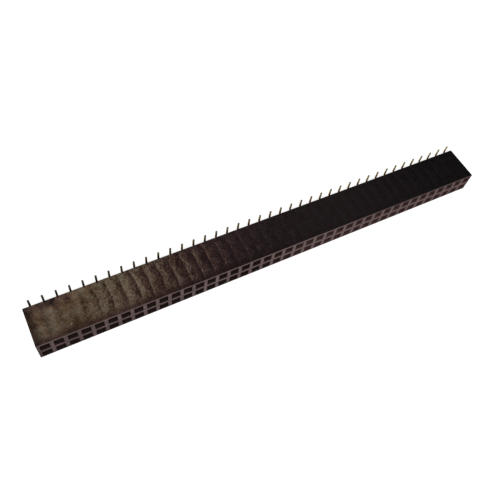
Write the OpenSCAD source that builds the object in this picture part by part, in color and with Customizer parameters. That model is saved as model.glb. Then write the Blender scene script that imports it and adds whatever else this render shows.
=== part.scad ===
// Dual-row female pin header with surface-mount tails, standing on its feet.
// Millimetres. Origin: middle of the strip, on the board plane under the feet.
// +X runs along the strip, +Z points out of the sockets.

/* [Layout] */
// Number of contact columns along the strip
columns = 40; // [2:1:50]
// Distance between neighbouring columns
pitch = 2.54; // [2.4:0.01:4]
// Distance between the two rows of sockets
row_pitch = 2.54; // [2.4:0.01:3]

/* [Housing] */
// Width of the moulded body across both rows
body_w = 5.0; // [4.8:0.1:7]
// Height of the side walls
body_h = 8.3; // [6:0.1:12]
// Body past half a pitch beyond the last column at each end
end_margin = 0.2; // [0:0.05:0.5]
// Gap between the board and the underside of the body
board_gap = 0.6; // [0.5:0.05:1.5]
// Radius on the outer edges of the body
edge_r = 0.15; // [0.05:0.05:0.25]
// Width of the square socket mouths at the mating face
mouth_w = 1.9; // [1.5:0.02:2.1]
// Size of the lead-in chamfer round each mouth
lead_in = 0.06; // [0.04:0.01:0.2]
// Thickness of the base that holds the contacts
base_t = 1.6; // [1.4:0.1:2.5]

/* [Standoffs] */
// Number of standoff pads under the base
pads = 5; // [2:1:9]
// Length of a pad along the strip
pad_l = 1.2; // [0.8:0.1:2]
// Width of a pad across the strip
pad_w = 1.5; // [1:0.1:1.8]
// Distance from the end of the body to the middle of the end pads
pad_inset = 2.54; // [1:0.1:8]
// Height of the pads above the board, so that the feet touch first
pad_lift = 0.1; // [0.05:0.05:0.3]

/* [Contacts] */
// Thickness of the stamped strip
strip_t = 0.2; // [0.15:0.01:0.25]
// Width of the spring beams
beam_w = 0.8; // [0.6:0.05:1]
// Free gap between the beams where they grip a pin
pin_gap = 0.42; // [0.3:0.02:0.6]
// Height of the straight foot of each beam above the base
beam_straight = 1.0; // [0.5:0.1:2]
// Centre-line radius of the bends between the bridge and the beams
bridge_r = 0.25; // [0.15:0.05:0.35]
// Length of the flared tip above the grip
flare_l = 0.95; // [0.5:0.05:1.5]
// Distance of the beam tips below the mating face
tip_recess = 1.3; // [0.8:0.1:2.5]
// Width of the tail and its foot
tail_w = 0.4; // [0.3:0.05:0.6]
// Depth of the wide retention blade below the floor of the socket
blade_l = 0.9; // [0.5:0.1:1.2]
// Reach of the feet past the side walls
foot_reach = 1.25; // [0.8:0.05:2]
// Centre-line radius of the bend above each foot
foot_bend_r = 0.3; // [0.2:0.05:0.4]
// Chamfer on the corners of each toe
toe_chamfer = 0.1; // [0.02:0.02:0.14]

/* [Clearances] */
// Clearance between a beam and the side of its cavity
beam_clear = 0.05; // [0.02:0.01:0.1]
// Clearance between a flared tip and the side of its cavity
tip_clear = 0.15; // [0.05:0.01:0.25]
// Clearance round a tail in its slot
slot_clear = 0.03; // [0.01:0.01:0.06]

/* [Hidden] */
body_l = columns * pitch + 2 * end_margin;
top_z = board_gap + body_h;
floor_z = board_gap + base_t;
cavity_w = mouth_w - 2 * lead_in;
row_y = row_pitch / 2;
bridge_z = floor_z + strip_t / 2;
beam_x = cavity_w / 2 - beam_clear - strip_t / 2;
tip_x = cavity_w / 2 - tip_clear - strip_t / 2;
grip_x = (pin_gap + strip_t) / 2;
tip_z = top_z - tip_recess;
grip_z = tip_z - flare_l;
// Middle plane of a tail, flush with the outer edge of its bridge
tail_y = row_y + (beam_w - strip_t) / 2;
toe_y = body_w / 2 + foot_reach;
blade_z = floor_z - blade_l;
// Half of the rounded grip between the lean of a beam and its flare
grip_half = 0.12;
// Cuts run this far past the faces that they open
cut = 1;
bend_steps = 4;
edge_fn = 48;

function column_x(i) = (i - (columns + 1) / 2) * pitch;
function pad_x(i) = (i / (pads - 1) - 0.5) * (body_l - 2 * pad_inset);
function pair_name(i) = str("contact_pair_", i < 10 ? "0" : "", i);

// Outline of a bent strip of thickness t, from the points of its centre line
function side_of(v) = [-v[1], v[0]] / norm(v);
function mitre(a, b) = (a + b) / (1 + a * b);
function bend_normal(p, i) =
    let (a = side_of(i > 0 ? p[i] - p[i - 1] : p[1] - p[0]),
         b = side_of(i < len(p) - 1 ? p[i + 1] - p[i] : p[i] - p[i - 1]))
    mitre(a, b);
function strip_outline(p, t) = concat(
    [for (i = [0:len(p) - 1]) p[i] + bend_normal(p, i) * t / 2],
    [for (i = [len(p) - 1:-1:0]) p[i] - bend_normal(p, i) * t / 2]);
function arc(centre, r, from, to) = [for (k = [0:bend_steps])
    let (a = from + (to - from) * k / bend_steps) centre + r * [cos(a), sin(a)]];
function flipped(p) = [for (i = [len(p) - 1:-1:0]) [-p[i][0], p[i][1]]];

// Upright profile drawn in X and Z, run along Y
module along_y(length) {
    rotate([90, 0, 0]) linear_extrude(length, center = true) children();
}

// Upright profile drawn in Y and Z, run along X
module along_x(length) {
    rotate([90, 0, 90]) linear_extrude(length, center = true) children();
}

module rounded_rect(w, h) {
    square([w - 2 * edge_r, h], center = true);
    square([w, h - 2 * edge_r], center = true);
    for (x = [-1, 1], y = [-1, 1])
        translate([x * (w / 2 - edge_r), y * (h / 2 - edge_r)]) circle(edge_r, $fn = edge_fn);
}

// ---- housing ----

module body_block() {
    translate([0, 0, board_gap + body_h / 2]) intersection() {
        along_x(body_l + cut) rounded_rect(body_w, body_h);
        along_y(body_w + cut) rounded_rect(body_l, body_h);
        linear_extrude(body_h + cut, center = true) rounded_rect(body_l, body_w);
    }
}

// Socket seen from the side: a straight cavity that opens out at its mouth
module socket_profile() {
    polygon([
        [-cavity_w / 2, floor_z], [cavity_w / 2, floor_z],
        [cavity_w / 2, top_z - lead_in], [mouth_w / 2, top_z],
        [mouth_w / 2, top_z + cut], [-mouth_w / 2, top_z + cut],
        [-mouth_w / 2, top_z], [-cavity_w / 2, top_z - lead_in],
    ]);
}

// Where the columns' profile crosses the rows' profile, every socket is cut at once
module sockets() {
    intersection() {
        along_y(body_w + cut) for (i = [1:columns]) translate([column_x(i), 0]) socket_profile();
        along_x(body_l + cut) for (s = [-1, 1]) translate([s * row_y, 0]) socket_profile();
    }
}

// Slots in the base: wide for the retention blade, narrow for the tail below it
module tail_slots() {
    blade_slot = beam_w + 2 * slot_clear;
    tail_slot = tail_w + 2 * slot_clear;
    slot_t = strip_t + 2 * slot_clear;
    intersection() {
        along_y(body_w + cut) for (i = [1:columns]) translate([column_x(i), 0]) {
            translate([-blade_slot / 2, blade_z - slot_clear])
                square([blade_slot, blade_l + slot_clear + cut]);
            translate([-tail_slot / 2, board_gap - cut]) square([tail_slot, base_t + cut]);
        }
        along_x(body_l + cut) for (s = [0, 1]) mirror([s, 0])
            translate([tail_y - slot_t / 2, board_gap - cut]) square([slot_t, base_t + 2 * cut]);
    }
}

module standoff_pads() {
    for (i = [0:pads - 1]) translate([pad_x(i) - pad_l / 2, -pad_w / 2, pad_lift])
        cube([pad_l, pad_w, board_gap - pad_lift + base_t / 2]);
}

module housing() {
    color([0.11, 0.10, 0.09]) difference() {
        union() {
            body_block();
            standoff_pads();
        }
        sockets();
        tail_slots();
    }
}

// ---- contacts ----

// Two spring beams bent up from one bridge, drawn in X and Z
module spring_profile() {
    beam = concat(
        arc([beam_x - bridge_r, bridge_z + bridge_r], bridge_r, -90, 0),
        [[beam_x, floor_z + beam_straight], [grip_x, grip_z - grip_half],
         [grip_x, grip_z + grip_half], [tip_x, tip_z]]);
    polygon(strip_outline(concat(flipped(beam), beam), strip_t));
}

// Tail from the bridge down through the base and out along the board, drawn in Y and Z
module tail_profile() {
    foot_z = strip_t / 2;
    path = concat([[tail_y, bridge_z]],
        arc([tail_y + foot_bend_r, foot_z + foot_bend_r], foot_bend_r, 180, 270), [[toe_y, foot_z]]);
    polygon(strip_outline(path, strip_t));
}

// Tail seen from above, narrowed at the corners of its toe
module tail_outline() {
    back_y = tail_y - strip_t;
    polygon([
        [-tail_w / 2, back_y], [tail_w / 2, back_y],
        [tail_w / 2, toe_y - toe_chamfer], [tail_w / 2 - toe_chamfer, toe_y],
        [toe_chamfer - tail_w / 2, toe_y], [-tail_w / 2, toe_y - toe_chamfer],
    ]);
}

module contact() {
    translate([0, row_y, 0]) along_y(beam_w) spring_profile();
    intersection() {
        along_x(tail_w + cut) tail_profile();
        linear_extrude(top_z, center = true) tail_outline();
    }
    translate([-beam_w / 2, tail_y - strip_t / 2, blade_z]) cube([beam_w, strip_t, blade_l + strip_t / 2]);
}

module contact_pair(i) {
    color([0.80, 0.68, 0.45]) translate([column_x(i), 0, 0]) for (s = [0, 1])
        mirror([0, s, 0]) contact();
}

housing();
for (i = [1:columns]) contact_pair(i);
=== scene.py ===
import bmesh
import bpy
from mathutils import Matrix, Vector


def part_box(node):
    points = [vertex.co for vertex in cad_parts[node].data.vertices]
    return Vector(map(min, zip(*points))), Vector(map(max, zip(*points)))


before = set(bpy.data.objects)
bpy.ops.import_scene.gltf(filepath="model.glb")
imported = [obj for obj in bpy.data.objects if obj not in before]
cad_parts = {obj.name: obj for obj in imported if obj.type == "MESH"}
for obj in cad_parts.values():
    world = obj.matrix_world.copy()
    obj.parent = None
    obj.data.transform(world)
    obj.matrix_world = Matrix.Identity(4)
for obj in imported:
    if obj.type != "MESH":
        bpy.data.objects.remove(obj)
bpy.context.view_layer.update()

scene = bpy.context.scene
scene.view_settings.view_transform = "Standard"

MM = 0.001
PITCH = 2.54 * MM
housing_low, housing_high = (Vector(corner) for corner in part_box("housing"))
# The tails bend outwards here, and the toes end here, from the middle plane
TAIL_BEND = 1.9 * MM
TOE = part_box("contact_pair_01")[1][1]


# ---- small helpers for node trees ----

class Tree:
    """A material's or the world's node tree, with short ways to add to it."""

    def __init__(self, owner):
        owner.use_nodes = True
        self.tree = owner.node_tree
        self.tree.nodes.clear()

    def add(self, kind, **values):
        node = self.tree.nodes.new(kind)
        for name, value in values.items():
            setattr(node, name, value)
        return node

    def link(self, source, target):
        self.tree.links.new(source, target)

    def put(self, value, socket):
        """A number or colour is set on the socket, and another node's output is linked to it."""
        if isinstance(value, bpy.types.NodeSocket):
            self.link(value, socket)
        elif value is not None:
            socket.default_value = value

    def math(self, operation, a, b=None):
        node = self.add("ShaderNodeMath", operation=operation)
        self.put(a, node.inputs[0])
        self.put(b, node.inputs[1])
        return node.outputs[0]

    def total(self, first, *others):
        for other in others:
            first = self.math("ADD", first, other)
        return first

    def product(self, first, *others):
        for other in others:
            first = self.math("MULTIPLY", first, other)
        return first

    def less(self, a, b):
        return self.math("SUBTRACT", a, b)

    def size(self, value):
        return self.math("ABSOLUTE", value)

    def remap(self, value, low, high, to_low=0.0, to_high=1.0, smooth=True):
        """The value's way from low to high, as a smooth or straight way from to_low to to_high."""
        node = self.add("ShaderNodeMapRange")
        node.interpolation_type = "SMOOTHSTEP" if smooth else "LINEAR"
        for item, socket in zip((value, low, high, to_low, to_high), node.inputs):
            self.put(item, socket)
        return node.outputs[0]

    def mix(self, factor, a, b, blend="MIX"):
        node = self.add("ShaderNodeMix", data_type="RGBA", blend_type=blend)
        self.put(factor, node.inputs[0])
        self.put(a, node.inputs[6])
        self.put(b, node.inputs[7])
        return node.outputs[2]

    def noise(self, vector, scale, detail, rough, warp=0.0):
        node = self.add("ShaderNodeTexNoise")
        self.link(vector, node.inputs["Vector"])
        node.inputs["Scale"].default_value = scale
        node.inputs["Detail"].default_value = detail
        node.inputs["Roughness"].default_value = rough
        node.inputs["Distortion"].default_value = warp
        return node.outputs[0]

    def cells(self, vector, scale):
        """One random number for each small cell."""
        node = self.add("ShaderNodeTexVoronoi")
        self.link(vector, node.inputs["Vector"])
        node.inputs["Scale"].default_value = scale
        return self.split(node.outputs["Color"])[0]

    def ramp(self, value, *stops):
        node = self.add("ShaderNodeValToRGB")
        self.link(value, node.inputs[0])
        band = node.color_ramp.elements
        while len(band) < len(stops):
            band.new(1.0)
        for element, (place, colour) in zip(band, stops):
            element.position = place
            element.color = (*colour, 1.0)
        return node.outputs[0]

    def object_coordinates(self):
        return self.add("ShaderNodeTexCoord").outputs["Object"]

    def split(self, vector):
        node = self.add("ShaderNodeSeparateXYZ")
        self.link(vector, node.inputs[0])
        return node.outputs

    def bump(self, height, distance, under=None, strength=1.0):
        node = self.add("ShaderNodeBump")
        node.inputs["Strength"].default_value = strength
        node.inputs["Distance"].default_value = distance
        self.link(height, node.inputs["Height"])
        if under is not None:
            self.link(under, node.inputs["Normal"])
        return node.outputs[0]

    def surface(self, shader, kind="ShaderNodeOutputMaterial"):
        output = self.add(kind)
        self.link(shader, output.inputs["Surface"])


# ---- the housing's finish ----

# Grain sizes, in repeats to the metre
BROAD_SCALE = 260.0
MOTTLE_SCALE = 900.0
GRAIN_SCALE = 3000.0
CRATER_SCALE = 3700.0
# Depths of the relief in the shading
SINK_DEPTH = 0.21 * MM
MOTTLE_DEPTH = 0.060 * MM
GRAIN_DEPTH = 0.018 * MM
# How far the grooves bow and wander, and where they start, in pitches
GROOVE_BOW = 0.6
GROOVE_WANDER = 0.35
GROOVE_SHIFT = 0.1
GROOVE_ROUNDING = 0.0012
# How far the bright ridges and hooks stand beside a groove, in pitches, and their half width
RIDGE_PLACE = 0.05
RIDGE_WIDTH = (0.05, 0.0)
HOOK_PLACE = 0.06
HOOK_WIDTH = (0.07, 0.01)
# Share of gloss
MEAN_GLOSS = 0.45
CALM_GLOSS = 0.41
LEAST_GLOSS = 0.04
FACE_GLOSS = 0.42
MOUTHS_PALE = 0.85
ENDS_SHARE = 0.60
BACK_ROW_SHARE = (0.52, 0.68)
# The level that counts where a linked one is dropped
PLAIN_GLOSS = 0.4
# What each mark adds to the gloss
BLOTCH_RANGE = (-0.34, 0.34)
RIDGE_GAIN = 0.30
HOOK_GAIN = 0.8
SPECK_GAIN = 0.25
DROP_GAIN = (0.10, -0.09)
STRIPE_GAIN = (-0.05, 0.04)
FIELD_GAIN = 0.08
STRIP_GAIN = -0.22
# Roughness of the moulded surface, and what the sockets' walls add to it
ROUGHNESS = (0.14, 0.22)
CORE_ROUGHNESS = 0.3

# Stretches along x from the middle, over which the finish changes
GROOVES_DEEPEN = (0.0, 30.0 * MM)
CALM_STARTS = (36.0 * MM, 43.0 * MM)
MOUTHS_GET_DULLER = (-12.0 * MM, 12.0 * MM)
BLOTCHES_GROW = (4.0 * MM, 20.0 * MM)
BLOTCHES_START = (-28.0 * MM, 0.0)
BLOTCHES_EASE = (23.0 * MM, 30.0 * MM)
HOOKS_START = (11.0 * MM, 14.0 * MM)
HOOKS_END = (23.0 * MM, 20.0 * MM)
DROPS_START = (24.0 * MM, 31.0 * MM)
DROPS_END = (43.5 * MM, 37.5 * MM)
STRIP_STARTS = (42.0 * MM, 45.0 * MM)
FIELD_MIDDLE = 48.0 * MM
FIELD_EDGE = (2.6 * MM, 0.8 * MM)
ENDS_GET_DULLER = (housing_high.x - 2.2 * MM, housing_high.x - 0.5 * MM)
BACK_ROW_GAINS = (-24.0 * MM, -14.0 * MM)
# Where the painted light on the sockets' walls grows paler
SOCKET_WALLS_PAINTED_LIGHTER = (8.0 * MM, -10.0 * MM)
# Where the painted highlight on the mating face's edges grows
EDGE_HIGHLIGHT_GROWS = (-30.0 * MM, -4.0 * MM)
GRAIN_RISES = (-30.0 * MM, 4.0 * MM)
MAUVE_STARTS = (0.0, 6.0 * MM)
MAUVE_ENDS = (19.0 * MM, 12.0 * MM)
GREEN_STARTS = (14.0 * MM, 26.0 * MM)
OLIVE_STARTS = (26.0 * MM, 36.0 * MM)
MAUVE_EDGE_STARTS = (41.0 * MM, 44.0 * MM)

# Stretches up the wall and across the rows
OVER_SOCKETS = (housing_low.z - 0.8 * MM, housing_low.z + 3.2 * MM)
BELOW_MOUTHS = (housing_high.z - 0.3 * MM, housing_high.z - 3.0 * MM)
MOUTH_BORDER = (housing_high.z - 2.0 * MM, housing_high.z - 0.2 * MM)
NEAR_BOARD = (housing_low.z + 3.0 * MM, housing_low.z + 1.4 * MM)
FRONT_TO_BACK = (-1.8 * MM, 1.8 * MM)
# Where the painted highlight runs along the mating face's long edges
EDGE_HIGHLIGHT_Y = (housing_high.y - 0.18 * MM, housing_high.y - 0.08 * MM)
EDGE_HIGHLIGHT_Z = (housing_high.z - 0.13 * MM, housing_high.z - 0.06 * MM)
# The sockets' walls lie inside these
SOCKET_SIDE = housing_high.y - 0.3 * MM
SOCKET_TOP = housing_high.z - 0.03 * MM
SOCKET_FLOOR = housing_low.z + 0.7 * MM
FACE_FROM = housing_high.z - 0.005 * MM

# Colours of the plastic
PLASTIC_DARK = (0.0045, 0.0042, 0.0045)
PLASTIC_PALE = (0.0056, 0.0051, 0.0053)
# Painted light on the sockets' walls, dimmer and more lit
SOCKET_WALL_PAINTED_DIM = (0.018, 0.012, 0.011, 1.0)
SOCKET_WALL_PAINTED_LIT = (0.060, 0.034, 0.032, 1.0)
# Painted highlight along the mating face's long edges
PAINTED_EDGE_HIGHLIGHT = (0.115, 0.082, 0.080, 1.0)
# Tints of its gloss
ROSY_SHEEN = (1.0, 0.64, 0.55)
COOL_SHEEN = (0.96, 0.98, 1.0)
GOLDEN_SHEEN = (1.0, 0.78, 0.54)
OLIVE_SHEEN = (0.92, 1.0, 0.98)
MAUVE_SHEEN = (1.0, 0.76, 0.90, 1.0)
GREENER = (0.93, 1.0, 0.97, 1.0)
MAUVE_EDGE_SHEEN = (1.0, 0.80, 0.84, 1.0)
MOUTH_SHEEN = (1.0, 0.59, 0.61, 1.0)
FACE_SHEEN = (1.0, 0.74, 0.76, 1.0)


def moulded_black():
    """Black moulded plastic: sink grooves over the ribs, uneven gloss, clouds and tool grain."""
    material = bpy.data.materials.new("moulded_black")
    t = Tree(material)
    place = t.object_coordinates()
    x, y, z = t.split(place)

    broad = t.noise(place, BROAD_SCALE, detail=2.0, rough=0.5, warp=0.5)
    mottle = t.noise(place, MOTTLE_SCALE, detail=3.0, rough=0.6, warp=0.4)
    grain = t.noise(place, GRAIN_SCALE, detail=1.0, rough=0.6)
    craters = t.cells(place, CRATER_SCALE)

    # The wall sinks to a sharp groove over each rib, bowed along its height, and swells between
    height = t.remap(z, housing_low.z, housing_high.z, smooth=False)
    bow = t.product(height, t.less(1.0, height), GROOVE_BOW)
    wander = t.product(t.less(broad, 0.5), GROOVE_WANDER)
    along = t.less(t.total(t.math("DIVIDE", x, PITCH), wander, bow), GROOVE_SHIFT)
    from_rib = t.less(t.math("FRACT", t.total(along, 0.5)), 0.5)
    rounded = t.math("SQRT", t.total(t.product(from_rib, from_rib), GROOVE_ROUNDING))
    swell = t.product(rounded, t.less(1.0, rounded))
    on_wall = t.product(t.remap(z, *OVER_SOCKETS), t.remap(z, *BELOW_MOUTHS))
    # The grooves are deeper towards the end that was filled last
    sink = t.product(swell, on_wall, t.remap(x, *GROOVES_DEEPEN, 0.36, 1.0))
    # That end itself is calmer, with paler and duller fields in place of the grooves
    calm = t.remap(x, *CALM_STARTS)
    lively = t.less(1.0, calm)

    # The gloss is uneven at three scales, with small glints
    fine = t.product(t.less(grain, 0.5), t.remap(calm, 0.0, 1.0, 0.45, 0.22))
    clouds = t.product(t.less(mottle, 0.5), 0.30)
    wide = t.product(t.less(broad, 0.5), t.remap(calm, 0.0, 1.0, 0.25, 0.32))
    uneven = t.remap(t.total(wide, clouds, fine), -0.12, 0.12, *BLOTCH_RANGE, smooth=False)
    glints = t.product(t.math("POWER", craters, 3.0), t.remap(calm, 0.0, 1.0, 0.22, 0.08))
    patchy = t.product(t.remap(x, *BLOTCHES_GROW, 0.30, 0.88), t.remap(x, *BLOTCHES_START, 0.3, 1.0),
                       t.remap(x, *BLOTCHES_EASE, 1.0, 0.82), t.remap(calm, 0.0, 1.0, 1.0, 1.18))
    level = t.remap(calm, 0.0, 1.0, MEAN_GLOSS, CALM_GLOSS)
    blotches = t.total(t.product(t.total(uneven, glints), patchy), level)
    # Thin bright ridges stand beside some of the grooves
    ridge = t.remap(t.size(t.total(from_rib, RIDGE_PLACE)), *RIDGE_WIDTH)
    ridge = t.product(ridge, t.remap(mottle, 0.46, 0.60), lively)
    blotches = t.total(blotches, t.product(ridge, patchy, RIDGE_GAIN))
    # A few of them catch the light in short hooks near the middle
    hook = t.remap(t.size(t.total(from_rib, HOOK_PLACE)), *HOOK_WIDTH)
    hook = t.product(hook, t.remap(broad, 0.50, 0.54), t.remap(height, 0.12, 0.25),
                     t.remap(x, *HOOKS_START), t.remap(x, *HOOKS_END))
    blotches = t.total(blotches, t.product(hook, HOOK_GAIN))
    # Tiny pale specks are strewn over the mating side of the calm end
    speck = t.product(t.remap(craters, 0.93, 0.98), t.remap(height, 0.40, 0.65))
    blotches = t.total(blotches, t.product(speck, calm, SPECK_GAIN))
    # Beside the calm end the gloss drops from each groove to the next
    phase = t.math("FRACT", t.product(along, -1.0))
    drop = t.remap(phase, 0.05, 0.90, *DROP_GAIN, smooth=False)
    drop = t.product(drop, on_wall, t.remap(x, *DROPS_START), t.remap(x, *DROPS_END))
    blotches = t.total(blotches, drop)
    # On the calm end the ribs show as faint stripes, under a pale field and a dull strip
    stripes = t.remap(t.size(from_rib), 0.0, 0.45, *STRIPE_GAIN)
    field = t.product(t.remap(t.size(t.less(x, FIELD_MIDDLE)), *FIELD_EDGE), FIELD_GAIN)
    near_board = t.remap(z, *NEAR_BOARD)
    strip = t.product(near_board, t.remap(x, *STRIP_STARTS), STRIP_GAIN)
    blotches = t.total(blotches, t.product(t.total(stripes, field, strip), calm))

    # The gloss is lower near the mouths, at the ends and on the row at the back
    by_mouths = t.remap(x, *MOUTHS_GET_DULLER, MOUTHS_PALE, FACE_GLOSS)
    near_mouths = t.remap(z, *MOUTH_BORDER, 1.0, by_mouths)
    near_ends = t.remap(t.size(x), *ENDS_GET_DULLER, 1.0, ENDS_SHARE)
    across = t.remap(y, *FRONT_TO_BACK, 1.0, t.remap(x, *BACK_ROW_GAINS, *BACK_ROW_SHARE))
    # The mating face itself is equally dull all along
    on_face = t.math("GREATER_THAN", z, FACE_FROM)
    even = t.remap(on_face, 0.0, 1.0, 1.0, t.math("DIVIDE", FACE_GLOSS, by_mouths))
    gloss = t.product(t.math("MAXIMUM", blotches, LEAST_GLOSS), near_mouths, near_ends, across, even)

    shader = t.add("ShaderNodeBsdfPrincipled")
    tint = t.ramp(mottle, (0.35, PLASTIC_DARK), (0.65, PLASTIC_PALE))
    # The walls of the sockets keep the dull finish of the cores that formed them, and their colour is
    # painted light: paler than the outer wall, and paler still towards negative x
    inside = t.product(t.math("LESS_THAN", t.size(y), SOCKET_SIDE), t.math("LESS_THAN", z, SOCKET_TOP),
                       t.math("GREATER_THAN", z, SOCKET_FLOOR))
    tint = t.mix(inside, tint, t.mix(t.remap(x, *SOCKET_WALLS_PAINTED_LIGHTER), SOCKET_WALL_PAINTED_DIM, SOCKET_WALL_PAINTED_LIT))
    # The long edges of the mating face carry a painted highlight, a pale line that is fainter towards
    # negative x
    edge_highlight = t.product(t.remap(t.size(y), *EDGE_HIGHLIGHT_Y), t.remap(z, *EDGE_HIGHLIGHT_Z),
                       t.remap(x, *EDGE_HIGHLIGHT_GROWS, 0.15, 0.85))
    t.link(t.mix(edge_highlight, tint, PAINTED_EDGE_HIGHLIGHT), shader.inputs["Base Color"])
    roughness = t.total(t.remap(mottle, 0.3, 0.7, *ROUGHNESS), t.product(inside, CORE_ROUGHNESS))
    t.link(roughness, shader.inputs["Roughness"])
    shader.inputs["Specular IOR Level"].default_value = PLAIN_GLOSS
    t.link(gloss, shader.inputs["Specular IOR Level"])
    shader.inputs["IOR"].default_value = 1.6

    # Duller spots are redder, and on the filled end more golden; the shaded side of a groove too
    fleck = t.total(blotches, t.product(phase, -0.30), t.product(craters, 0.12))
    rosy = t.ramp(fleck, (0.15, ROSY_SHEEN), (0.60, COOL_SHEEN))
    mauve = t.product(t.remap(x, *MAUVE_STARTS), t.remap(x, *MAUVE_ENDS), 0.5)
    rosy = t.mix(mauve, rosy, MAUVE_SHEEN)
    olive = t.ramp(blotches, (0.30, GOLDEN_SHEEN), (0.62, OLIVE_SHEEN))
    sheen = t.mix(t.remap(x, *OLIVE_STARTS), rosy, olive)
    # The board side is greener on the grooves and mauve on the calm end, the mating side redder
    green = t.product(t.remap(height, 0.50, 0.18), t.remap(x, *GREEN_STARTS), lively)
    sheen = t.mix(green, sheen, GREENER, blend="MULTIPLY")
    sheen = t.mix(t.product(near_board, t.remap(x, *MAUVE_EDGE_STARTS)), sheen, MAUVE_EDGE_SHEEN)
    sheen = t.mix(near_mouths, t.mix(on_face, MOUTH_SHEEN, FACE_SHEEN), sheen)
    t.link(sheen, shader.inputs["Specular Tint"])

    softer = t.product(t.remap(calm, 0.0, 1.0, 1.0, 0.55), t.remap(x, *GRAIN_RISES, 0.2, 1.0))
    sunk = t.bump(sink, SINK_DEPTH)
    waved = t.bump(t.product(mottle, softer), MOTTLE_DEPTH, under=sunk)
    grained = t.bump(t.product(grain, softer), GRAIN_DEPTH, under=waved)
    t.link(grained, shader.inputs["Normal"])
    t.surface(shader.outputs[0])
    return material


# ---- the contacts' finish ----

PATCH_SCALE = 900.0
STREAK_SCALE = 5200.0
STREAK_DEPTH = 0.002 * MM
STREAK_STRENGTH = 0.5
# The feet's fall towards their toes, in the shading
DROOP = -0.36
CUT_END = (TOE - 0.12 * MM, TOE - 0.10 * MM)
# Where the painted shade at each tail's root fades out, away from the housing's wall
SHADED_ROOT = (housing_high.y + 0.60 * MM, housing_high.y + 0.15 * MM)
PLATING_DARK = (0.42, 0.385, 0.21)
PLATING_PALE = (0.64, 0.59, 0.34)
# Painted shade at each tail's root
SHADED_ROOT_GOLD = (0.31, 0.19, 0.06, 1.0)
BARE_METAL = (0.09, 0.095, 0.085, 1.0)
STRIP_ROUGHNESS = (0.28, 0.40)
CUT_ROUGHNESS = 0.3
CUT_GLOSS = 0.2


def plated_strip():
    """Stamped spring metal with a thin gold plating, and bare dull ends where the toes were cut."""
    material = bpy.data.materials.new("plated_strip")
    t = Tree(material)
    place = t.object_coordinates()
    out = t.size(t.split(place)[1])
    patch = t.noise(place, PATCH_SCALE, detail=3.0, rough=0.6)
    streak = t.noise(place, STREAK_SCALE, detail=2.0, rough=0.5)
    plating = t.ramp(patch, (0.35, PLATING_DARK), (0.65, PLATING_PALE))
    # Painted shade: the plating is darker and more golden where the tail comes out from under the
    # housing
    plating = t.mix(t.remap(out, *SHADED_ROOT), plating, SHADED_ROOT_GOLD)
    cut_end = t.remap(out, *CUT_END, smooth=False)
    shader = t.add("ShaderNodeBsdfPrincipled")
    t.link(t.less(1.0, cut_end), shader.inputs["Metallic"])
    shader.inputs["Specular IOR Level"].default_value = CUT_GLOSS
    t.link(t.mix(cut_end, plating, BARE_METAL), shader.inputs["Base Color"])
    roughness = t.total(t.remap(streak, 0.3, 0.7, *STRIP_ROUGHNESS),
                        t.product(cut_end, CUT_ROUGHNESS))
    t.link(roughness, shader.inputs["Roughness"])
    # The feet droop a little towards their toes
    droop = t.product(t.math("MAXIMUM", t.less(out, TAIL_BEND), 0.0), DROOP)
    sloped = t.bump(droop, 1.0)
    streaked = t.bump(streak, STREAK_DEPTH, under=sloped, strength=STREAK_STRENGTH)
    t.link(streaked, shader.inputs["Normal"])
    t.surface(shader.outputs[0])
    return material


# ---- finishes on the frame ----

black = moulded_black()
plated = plated_strip()
for name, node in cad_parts.items():
    node.data.materials.clear()
    node.data.materials.append(black if name == "housing" else plated)


# ---- stage ----

FLOOR_HALF = 1.5
FLOOR_COLOUR = (0.9, 0.9, 0.9, 1.0)
WHITE = (1.0, 1.0, 1.0, 1.0)
FLOOR_GLOW = 1.12
GLOW_SHARE = 0.85


def white_floor():
    """White to the camera, with a faint shadow of the part."""
    material = bpy.data.materials.new("white_floor")
    t = Tree(material)
    lit = t.add("ShaderNodeBsdfDiffuse")
    lit.inputs["Color"].default_value = FLOOR_COLOUR
    glow = t.add("ShaderNodeEmission")
    glow.inputs["Color"].default_value = WHITE
    glow.inputs["Strength"].default_value = FLOOR_GLOW
    blend = t.add("ShaderNodeMixShader")
    path = t.add("ShaderNodeLightPath")
    t.link(t.product(path.outputs["Is Camera Ray"], GLOW_SHARE), blend.inputs[0])
    t.link(lit.outputs[0], blend.inputs[1])
    t.link(glow.outputs[0], blend.inputs[2])
    t.surface(blend.outputs[0])
    return material


floor_mesh = bpy.data.meshes.new("floor")
floor_form = bmesh.new()
bmesh.ops.create_grid(floor_form, x_segments=1, y_segments=1, size=FLOOR_HALF)
floor_form.to_mesh(floor_mesh)
floor_form.free()
floor = bpy.data.objects.new("floor", floor_mesh)
scene.collection.objects.link(floor)
floor_mesh.materials.append(white_floor())
floor.visible_glossy = False


# ---- light ----

# Fields of the room, as the gloss shows them: place on the ramp, and colour
WARM_FIELD = (
    (0.07, (0.006, 0.005, 0.007)), (0.155, (0.06, 0.04, 0.045)), (0.24, (0.15, 0.108, 0.122)),
    (0.41, (0.14, 0.104, 0.116)), (0.453, (0.155, 0.096, 0.108)), (0.495, (0.38, 0.195, 0.21)),
    (0.537, (0.65, 0.365, 0.315)), (0.58, (0.80, 0.47, 0.35)), (0.622, (1.25, 0.86, 0.58)),
    (0.655, (2.55, 1.87, 1.31)), (0.69, (2.42, 1.79, 1.24)), (0.72, (1.50, 1.06, 0.73)),
    (0.76, (1.60, 1.11, 0.78)), (0.84, (0.80, 0.54, 0.40)),
)
PALE_FIELD = (
    (0.0, (0.90, 0.62, 0.61)), (0.30, (1.30, 0.93, 0.91)),
    (0.70, (1.32, 0.95, 0.93)), (1.0, (1.12, 0.77, 0.76)),
)
UPPER_FIELD = (
    (0.12, (0.50, 0.50, 0.49)), (0.33, (0.95, 0.92, 0.84)),
    (0.52, (0.42, 0.41, 0.37)), (0.72, (0.05, 0.06, 0.05)),
)
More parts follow.
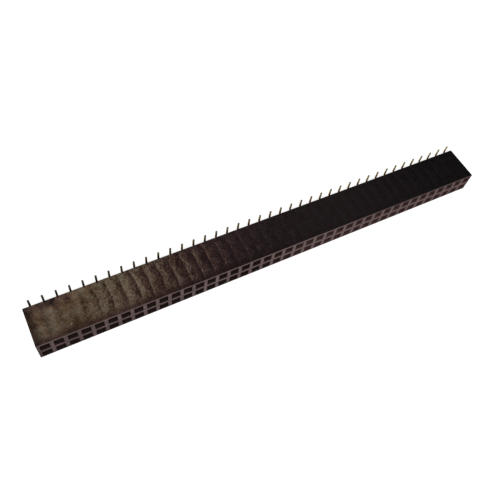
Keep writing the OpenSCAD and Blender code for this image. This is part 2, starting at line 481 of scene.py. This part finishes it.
STEEP_COLOUR = (0.12, 0.09, 0.085, 1.0)
BEHIND_DARK = (0.34, 0.28, 0.19, 1.0)
BEHIND_PALE = (0.75, 0.64, 0.38, 1.0)
TOP_GREY = (0.60, 0.58, 0.53, 1.0)
TOP_BLACK = (0.04, 0.04, 0.04, 1.0)
TOP_LAMP = (3.0, 2.85, 2.85, 1.0)
SOFT_GREY = (0.75, 0.75, 0.75, 1.0)
# A direction straight to one side still gets a depth
LEAST_DEPTH = 0.05


def studio_world():
    """White behind the part, soft grey light, and a room of pale and dark fields in the gloss."""
    world = bpy.data.worlds.new("studio")
    scene.world = world
    t = Tree(world)
    x, y, z = t.split(t.add("ShaderNodeTexCoord").outputs["Generated"])
    path = t.add("ShaderNodeLightPath")
    depth = t.math("MAXIMUM", t.size(y), LEAST_DEPTH)
    side = t.math("DIVIDE", x, depth)
    slant = t.math("DIVIDE", z, depth)
    # Low in front, a warm field on one side fades through mauve to black on the other
    front = t.ramp(t.remap(side, -1.0, 0.4, smooth=False), *WARM_FIELD)
    slope = t.remap(slant, -0.9, -0.1, 1.6, 0.4, smooth=False)
    front = t.mix(1.0, front, slope, blend="MULTIPLY")
    front = t.mix(t.remap(slant, -1.1, -2.2), front, STEEP_COLOUR)
    behind = t.mix(t.remap(x, 0.34, 0.56), BEHIND_DARK, BEHIND_PALE)
    low = t.mix(t.remap(y, -0.1, 0.1), front, behind)
    # Higher up, a pale pink field, and over it a dark one that turns golden to one side
    pale = t.ramp(t.remap(x, -0.7, 0.1, smooth=False), *PALE_FIELD)
    over = t.ramp(t.remap(x, -0.7, -0.1, smooth=False), *UPPER_FIELD)
    high = t.mix(t.remap(z, 0.48, 0.60), pale, over)
    # Overhead, a narrow lamp between grey and black
    lamp = t.product(t.remap(x, -0.24, -0.38), t.remap(x, -0.60, -0.46))
    top = t.mix(t.remap(x, -0.48, -0.28), TOP_GREY, TOP_BLACK)
    top = t.mix(lamp, top, TOP_LAMP)
    high = t.mix(t.remap(z, 0.86, 0.96), high, top)
    around = t.mix(t.remap(z, -0.1, 0.15), low, high)
    seen = t.mix(path.outputs["Is Glossy Ray"], SOFT_GREY, around)
    seen = t.mix(path.outputs["Is Camera Ray"], seen, WHITE)
    room = t.add("ShaderNodeBackground")
    t.link(seen, room.inputs["Color"])
    t.surface(room.outputs[0], "ShaderNodeOutputWorld")


def soft_box(name, place, aim, size, watts):
    lamp = bpy.data.lights.new(name, "AREA")
    lamp.shape = "RECTANGLE"
    lamp.size, lamp.size_y = size
    lamp.energy = watts
    box = bpy.data.objects.new(name, lamp)
    scene.collection.objects.link(box)
    box.location = place
    box.rotation_euler = (Vector(aim) - Vector(place)).to_track_quat("-Z", "Y").to_euler()
    box.visible_glossy = False


studio_world()
soft_box("key_light", place=(0.15, -0.25, 0.45), aim=(0, 0, 0.004), size=(0.3, 0.3), watts=1.8)


# ---- camera ----

CAMERA_PLACE = (0.044983, -0.101370, 0.055570)
CAMERA_RIGHT = (-0.881374, -0.112012, 0.458948)
CAMERA_UP = (-0.340704, -0.522274, -0.781761)

camera_data = bpy.data.cameras.new("camera")
camera_data.sensor_width = 36.0
camera_data.lens = 41.41
camera_data.clip_start = 0.001
camera = bpy.data.objects.new("camera", camera_data)
scene.collection.objects.link(camera)
right = Vector(CAMERA_RIGHT)
up = Vector(CAMERA_UP)
turn = Matrix((right, up, right.cross(up))).transposed().to_4x4()
camera.matrix_world = Matrix.Translation(CAMERA_PLACE) @ turn
scene.camera = camera
